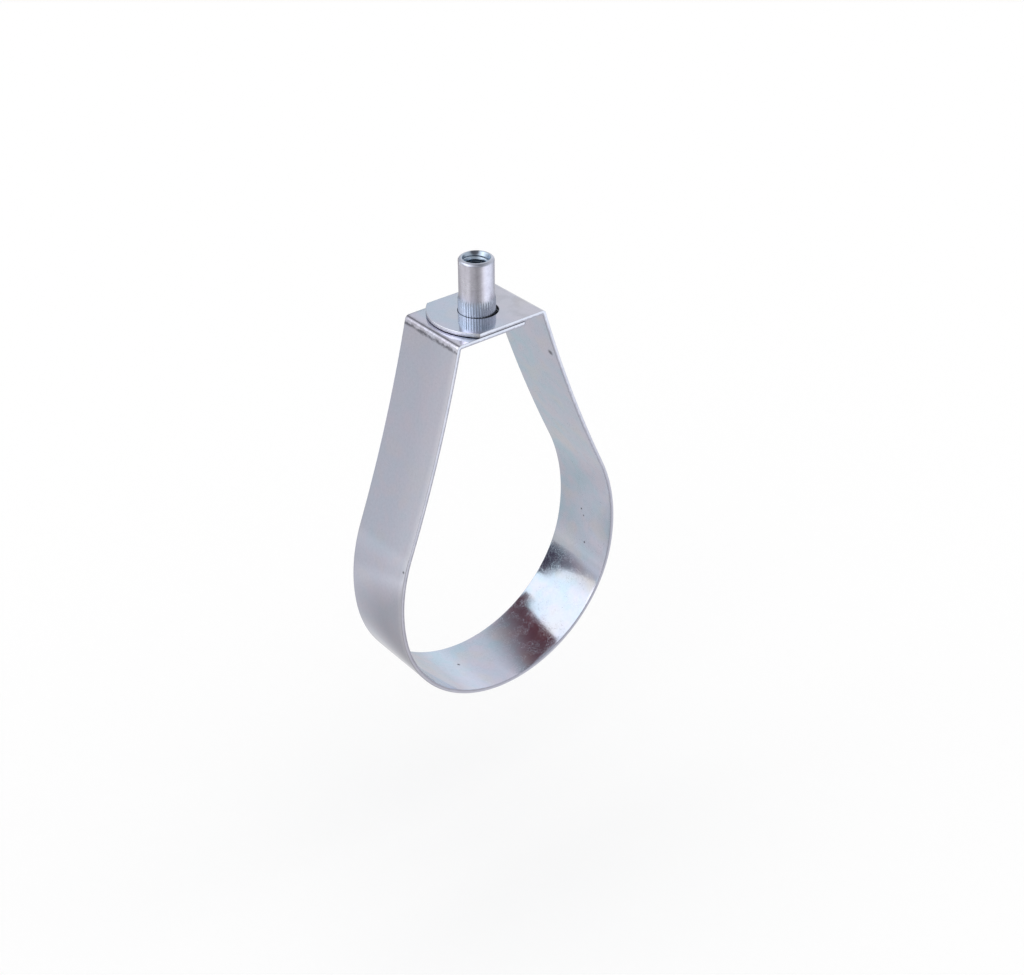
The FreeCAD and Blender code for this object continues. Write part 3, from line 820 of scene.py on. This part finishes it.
def cut_thread(mesh, sizes):
    """Winds the thread up the bore past both ends, opens it to the lead-in cones and trims it."""
    foot, mouth = NUT_LOW.z, NUT_HIGH.z
    flank = sizes.thread_depth * math.tan(FLANK_ANGLE)
    root_flat = sizes.thread_pitch / 8
    crest_flat = sizes.thread_pitch - root_flat - 2 * flank
    crest = sizes.thread_radius
    root = crest + sizes.thread_depth
    start = foot - THREAD_START * sizes.thread_pitch
    corners = (
        (crest, start),
        (crest, start + crest_flat),
        (root, start + crest_flat + flank),
        (root, start + crest_flat + flank + root_flat),
        (crest, start + sizes.thread_pitch),
    )
    profile_wire(mesh, corners, {})
    bmesh.ops.subdivide_edges(mesh, edges=mesh.edges[:], cuts=THREAD_CUTS)
    turns = math.ceil((mouth - start) / sizes.thread_pitch) + 1
    bmesh.ops.spin(
        mesh, geom=mesh.verts[:] + mesh.edges[:], axis=UP, dvec=UP * sizes.thread_pitch / THREAD_STEPS,
        angle=2 * math.pi * turns, steps=THREAD_STEPS * turns,
    )
    bmesh.ops.remove_doubles(mesh, verts=mesh.verts[:], dist=WELD)
    for height, direction in ((mouth, UP), (foot, -UP)):
        slice_bore(mesh, height, direction, trim=True)
    for row in range(1, LIP_ROWS + 1):
        slice_bore(mesh, mouth - lip_reach(sizes) * row / LIP_ROWS, UP, trim=False)
    for vertex in mesh.verts:
        radius = math.hypot(vertex.co.x, vertex.co.y)
        foot_radius = crest + sizes.foot_chamfer - (vertex.co.z - foot)
        opened = max(radius, mouth_radius(sizes, mouth - vertex.co.z), foot_radius) / radius
        vertex.co.x *= opened
        vertex.co.y *= opened


def slice_bore(mesh, height, direction, trim):
    """Cuts a level row of edges round the bore, and takes away what lies past it where it is trimmed."""
    bmesh.ops.bisect_plane(
        mesh, geom=mesh.verts[:] + mesh.edges[:] + mesh.faces[:], dist=TINY, plane_co=UP * height,
        plane_no=direction, clear_outer=trim,
    )


def close_lands(mesh):
    """Closes the flat land between the bore and the outside at both ends."""
    for height in (NUT_LOW.z, NUT_HIGH.z):
        loops = [
            edge for edge in mesh.edges
            if edge.is_boundary and all(abs(vertex.co.z - height) < WELD for vertex in edge.verts)
        ]
        bmesh.ops.triangle_fill(mesh, edges=loops, normal=UP, use_beauty=True)


# Edges that turn by more than this stay sharp.
SHARP_ANGLE = math.radians(38)


def add_object(name, mesh, materials):
    """Makes the modelled mesh an object of the scene, with its materials."""
    data = bpy.data.meshes.new(name)
    mesh.to_mesh(data)
    mesh.free()
    for material in materials:
        data.materials.append(material)
    added = bpy.data.objects.new(name, data)
    bpy.context.scene.collection.objects.link(added)
    return added


def finish_piece(name, mesh, materials, node, body):
    """Makes the modelled mesh a piece that stands for its node, rides on its body and takes its finish."""
    piece = add_object(name, mesh, materials)
    piece.data.shade_smooth()
    piece.data.set_sharp_from_angle(angle=SHARP_ANGLE)
    flats = piece.modifiers.new("flat_faces", "WEIGHTED_NORMAL")
    flats.keep_sharp = True
    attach(piece, body)
    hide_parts(node)


class HANGER_OT_ring_band(bpy.types.Operator):
    """Models the ring: one plated strip bent round the pipe, with its ends lapped as round-ended tabs"""

    bl_idname = "hanger.ring_band"
    bl_label = "Ring band"

    def execute(self, context):
        sizes = context.scene.hanger_band
        colours = context.scene.hanger_zinc
        mesh = bmesh.new()
        lay_strip(mesh, sizes)
        thicken_strip(mesh, sizes)
        materials = [rolled_zinc(colours, strip_length(sizes)), sheared_zinc(colours)]
        finish_piece("plated_ring_band", mesh, materials, "ring_band", "ring")
        return {"FINISHED"}


class HANGER_OT_swivel_nut(bpy.types.Operator):
    """Models the nut: a turned barrel with a rounded rim, a knurl, a flange and a threaded bore"""

    bl_idname = "hanger.swivel_nut"
    bl_label = "Swivel nut"

    def execute(self, context):
        sizes = context.scene.hanger_nut
        outside = bmesh.new()
        turn_outside(outside, sizes)
        cut_knurl(outside, sizes)
        bore = bmesh.new()
        cut_thread(bore, sizes)
        thread = bpy.data.meshes.new("thread")
        bore.to_mesh(thread)
        bore.free()
        outside.from_mesh(thread)
        bpy.data.meshes.remove(thread)
        close_lands(outside)
        bmesh.ops.recalc_face_normals(outside, faces=outside.faces[:])
        bmesh.ops.translate(outside, verts=outside.verts[:], vec=(SWIVEL_X, 0, 0))
        materials = [turned_zinc(context.scene.hanger_zinc, sizes.knurl_top)]
        finish_piece("threaded_swivel_nut", outside, materials, "swivel_nut", "nut")
        return {"FINISHED"}


# What glossy rays see of the floor, as (turn from +X to the left in degrees, level). These levels,
# the sky's and the cards were fitted to the reflections in the photograph, which shows one view only.
FLOOR_LEVELS = (
    (-180, 1.26), (-162, 0.70), (-143, 0.76), (-124, 0.44), (-106, 0.70), (-87, 1.10), (-68, 1.25),
    (-45, 1.13), (-17, 0.9), (8, 0.5), (24, 0.52), (36, 0.88), (41, 0.86), (43, 0.78), (51, 0.73),
    (90, 0.73), (130, 0.72), (156, 0.98), (180, 1.26),
)

# Where the floor's light is cold instead of neutral, as (turn, share).
COLD_TURNS = ((-100, 0.0), (-60, 1.0), (0, 1.0), (30, 0.0))
COLD_LIGHT = (0.95, 1.0, 1.08)

# How the floor changes across a slanting line on the left. The line passes a point and comes forward by so
# much of each length to the right. Its stops are (millimetres behind the line, share).
LINE_FROM = (-226 * MM, 199 * MM)
LINE_FALL = 0.526
LINE_STOPS = (
    (-10, 0.68), (14, 0.94), (26, 1.07), (38, 1.04), (52, 0.94), (80, 0.96), (120, 1.0), (190, 1.03),
    (360, 0.92),
)

# What the ramp of stops spans, in millimetres, and where it gives way to the plain floor on the right.
LINE_BEFORE = 100
LINE_SPAN = 500
LINE_GONE = (40 * MM, -20 * MM)

# From the floor's middle to its sides, in metres.
FLOOR_REACH = 6.0


def turned_levels(finish, direction, levels):
    """Grey levels that change with the turn about the upright axis."""
    turn = finish.node("ShaderNodeTexGradient", {"gradient_type": "RADIAL"}, {"Vector": direction}, output=1)
    return finish.levels(turn, [(0.5 + degrees / 360, level) for degrees, level in levels])


def floor_material(stage):
    """The floor's paint: pale to the light, white to the camera, and with its own levels to glossy rays."""
    material, finish = new_material("pale_floor")
    seen = finish.node("ShaderNodeLightPath", output="Is Camera Ray")
    mirrored = finish.node("ShaderNodeLightPath", output="Is Glossy Ray")
    paint = finish.blended(seen, stage.floor_colour, WHITE)
    surface = finish.node("ShaderNodeBsdfDiffuse", {}, {"Color": paint})
    place = finish.place()
    x, y = finish.axes(place)[:2]
    behind = y - LINE_FROM[1] + (x - LINE_FROM[0]) * LINE_FALL
    stops = [((LINE_BEFORE + millimetres) / LINE_SPAN, level) for millimetres, level in LINE_STOPS]
    across_line = finish.levels((behind + LINE_BEFORE * MM) * (1 / (LINE_SPAN * MM)), stops)
    cold = finish.blended(turned_levels(finish, place, COLD_TURNS), WHITE, COLD_LIGHT)
    lit = finish.multiplied(turned_levels(finish, place, FLOOR_LEVELS), cold)
    lit = finish.multiplied(lit, finish.blended(x.rising(*LINE_GONE), WHITE, across_line))
    finish.join(finish.node("ShaderNodeMixShader", {}, {0: mirrored, 1: surface, 2: finish.glow(lit)}))
    return material


def lay_floor(stage):
    """A level floor under the hanging ring, which takes its shadow."""
    mesh = bmesh.new()
    bmesh.ops.create_grid(mesh, x_segments=1, y_segments=1, size=FLOOR_REACH)
    bmesh.ops.translate(mesh, verts=mesh.verts[:], vec=UP * (BAND_LOW.z - stage.hanging_height))
    floor = add_object("floor", mesh, [floor_material(stage)])


# Outlines of the cards, as (x, z) in millimetres on upright planes behind the ring: a light and a dark end
# for the seat, and a shade for the nut's left edge.
CARD_OUTLINE = (
    (-20, 114), (-23, 104), (-24, 62), (-35, 51), (-24, 34), (-40, 19), (-56, 26), (-76, 8),
    (-112, 0), (-110, 30), (-98, 66), (-76, 94), (-48, 110),
)
DARK_OUTLINE = ((-114, -21), (-50, -21), (-30, 45), (85, 30), (85, 112), (-25, 112), (-60, 60), (-114, 24))
SHADE_OUTLINE = ((-38, 97), (16, 97), (16, 119), (-38, 119))
CARD_PLANE = 100.0 * MM
DARK_PLANE = 101.0 * MM
SHADE_PLANE = 30.0 * MM


def hang_card(name, outline, plane, material):
    """An upright card behind the ring, that shows only in reflections."""
    mesh = bmesh.new()
    mesh.faces.new([mesh.verts.new((x * MM, plane, z * MM)) for x, z in outline])
    card = add_object(name, mesh, [material])
    card.visible_camera = False
    card.visible_diffuse = False
    card.visible_shadow = False


def light_material(stage):
    """The light of the card, which is dimmer and warmer at its low left corner."""
    material, finish = new_material("card_light")
    x, _, z = finish.axes(finish.place())
    low_left = z.rising(50 * MM, 0.0) * x.rising(-60 * MM, -105 * MM)
    warm = finish.multiplied(stage.card_colour, (0.78, 0.71, 0.64))
    finish.join(finish.glow(finish.blended(low_left, stage.card_colour, warm)))
    return material


def dark_material(stage):
    """The unlit end of the studio, which fades out to the right, at its foot and at its low left corner."""
    material, finish = new_material("studio_dark")
    x, _, z = finish.axes(finish.place())
    right = (x - z * 1.82).rising(-180 * MM, -12 * MM) * x.rising(-25 * MM, 30 * MM)
    low_left = x.rising(-60 * MM, -112 * MM) * z.rising(34 * MM, 24 * MM) * 0.85
    foot = z.rising(-6 * MM, -22 * MM) * 0.4
    dusk = finish.blended(x.rising(-36 * MM, -52 * MM), stage.dark_colour, stage.dusk_colour)
    clear = finish.node("ShaderNodeBsdfTransparent")
    sockets = {0: right + (low_left + foot), 1: finish.glow(dusk), 2: clear}
    finish.join(finish.node("ShaderNodeMixShader", {}, sockets))
    return material


def shade_material():
    """A grey shade that the nut's left edge mirrors, darker towards the right."""
    material, finish = new_material("nut_shade")
    to_right = finish.axes(finish.place())[0].rising(-38 * MM, -8 * MM)
    finish.join(finish.glow(finish.levels(to_right, ((0.0, 0.70), (0.5, 0.58), (1.0, 0.45)))))
    return material


# What glossy rays see of the studio, as (elevation in degrees, level).
SKY_LEVELS = (
    (-90, 0.85), (0, 0.85), (6, 0.93), (15, 1.0), (27, 0.88), (38, 0.85), (48, 0.84), (60, 0.45),
    (90, 0.45),
)
SKY_TINT = (1.01, 1.02, 1.05)

# How much lighter or darker it is to each side, as (turn from +X to the left in degrees, share).
SKY_TURNS = (
    (-180, 2.2), (-162, 1.4), (-143, 0.85), (-124, 0.62), (-87, 0.46), (-68, 0.7), (-45, 0.85),
    (-17, 0.85), (30, 1.0), (38, 1.06), (44, 1.0), (116, 1.0), (124, 1.3), (134, 2.1), (156, 2.6),
    (180, 2.2),
)

# Darker gaps over the horizon, as (top in degrees, level, (turn, share) stops), and over how many degrees
# below its top a gap fades in.
SKY_GAPS = (
    (40, 0.3, ((50, 0.0), (72, 0.5), (108, 0.5), (122, 0.0))),
    (24, 0.40, ((-165, 0.0), (-145, 1.0), (-105, 1.0), (-85, 0.0))),
    (20, 0.80, ((118, 0.0), (128, 1.0), (162, 1.0), (172, 0.0))),
)
GAP_FADE = 12


def light_studio(stage):
    """Even white light all round, in whose place glossy rays see the levels above."""
    world = bpy.data.worlds.new("studio")
    bpy.context.scene.world = world
    world.use_nodes = True
    finish = Finish(world.node_tree)
    direction = finish.place()
    height = finish.axes(direction)[2]
    heights = [(0.5 + 0.5 * math.sin(math.radians(elevation)), level) for elevation, level in SKY_LEVELS]
    up = finish.levels(height * 0.5 + 0.5, heights)
    sky = finish.multiplied(up, turned_levels(finish, direction, SKY_TURNS))
    for top, level, turns in SKY_GAPS:
        low = height.rising(math.sin(math.radians(top)), math.sin(math.radians(top - GAP_FADE)))
        gap = finish.multiplied(turned_levels(finish, direction, turns), low)
        sky = finish.blended(gap, sky, (level, level, level))
    sky = finish.multiplied(sky, SKY_TINT)
    glossy = finish.node("ShaderNodeLightPath", output="Is Glossy Ray")
    shade = finish.blended(glossy, WHITE, sky)
    light = finish.node("ShaderNodeBackground", {}, {"Color": shade, "Strength": stage.sky_level})
    finish.node("ShaderNodeOutputWorld", {}, {"Surface": light})


def set_camera(stage, aim):
    """Stands the camera where the photograph was taken from, with the aimed point at its own pixel."""
    back = Vector((
        math.sin(stage.azimuth) * math.cos(stage.elevation),
        -math.cos(stage.azimuth) * math.cos(stage.elevation),
        math.sin(stage.elevation),
    ))
    level_right = Vector((math.cos(stage.azimuth), math.sin(stage.azimuth), 0))
    level_up = back.cross(level_right)
    right = level_right * math.cos(stage.roll) + level_up * math.sin(stage.roll)
    up = level_up * math.cos(stage.roll) - level_right * math.sin(stage.roll)
    per_pixel = stage.distance / stage.focal_pixels
    to_right = (stage.aim_column - PHOTO_WIDTH / 2) * per_pixel
    upward = (PHOTO_HEIGHT / 2 - stage.aim_row) * per_pixel
    place = aim - right * to_right - up * upward + back * stage.distance
    lens = bpy.data.cameras.new("camera")
    lens.lens = stage.focal_pixels / PHOTO_WIDTH * lens.sensor_width
    camera = bpy.data.objects.new("camera", lens)
    turned = Matrix((right, up, back)).transposed().to_4x4()
    camera.matrix_world = Matrix.Translation(place) @ turned
    bpy.context.scene.collection.objects.link(camera)
    bpy.context.scene.camera = camera


class HANGER_OT_stage(bpy.types.Operator):
    """Sets up the floor, the light, the cards that only the metal reflects and the camera"""

    bl_idname = "hanger.stage"
    bl_label = "Stage"

    def execute(self, context):
        stage = context.scene.hanger_stage
        lay_floor(stage)
        hang_card("light_card", CARD_OUTLINE, CARD_PLANE, light_material(stage))
        hang_card("dark_end", DARK_OUTLINE, DARK_PLANE, dark_material(stage))
        hang_card("nut_shade", SHADE_OUTLINE, SHADE_PLANE, shade_material())
        light_studio(stage)
        set_camera(stage, Vector((folds_middle(context.scene.hanger_band), 0, 0)))
        context.scene.view_settings.view_transform = "Standard"
        return {"FINISHED"}


class HANGER_PT_pieces(bpy.types.Panel):
    """Lists the hanger's pieces and its stage"""

    bl_idname = "HANGER_PT_pieces"
    bl_label = "Swivel ring hanger"
    bl_space_type = "VIEW_3D"
    bl_region_type = "UI"
    bl_category = "Hanger"

    def draw(self, context):
        for operator in OPERATORS:
            self.layout.operator(operator.bl_idname)
        for settings in SETTINGS:
            group = getattr(context.scene, settings)
            box = self.layout.box()
            for name in group.__annotations__:
                box.prop(group, name)


OPERATORS = (HANGER_OT_ring_band, HANGER_OT_swivel_nut, HANGER_OT_stage)
SETTINGS = {
    "hanger_band": BandSizes,
    "hanger_nut": NutSizes,
    "hanger_zinc": ZincColours,
    "hanger_stage": StageSettings,
}


def register():
    for kind in (*SETTINGS.values(), *OPERATORS, HANGER_PT_pieces):
        bpy.utils.register_class(kind)
    for name, kind in SETTINGS.items():
        setattr(bpy.types.Scene, name, PointerProperty(type=kind))


def unregister():
    for name in SETTINGS:
        delattr(bpy.types.Scene, name)
    for kind in (HANGER_PT_pieces, *reversed(OPERATORS), *reversed(SETTINGS.values())):
        bpy.utils.unregister_class(kind)


def main():
    register()
    bpy.ops.hanger.ring_band()
    bpy.ops.hanger.swivel_nut()
    bpy.ops.hanger.stage()


if __name__ == "__main__":
    main()
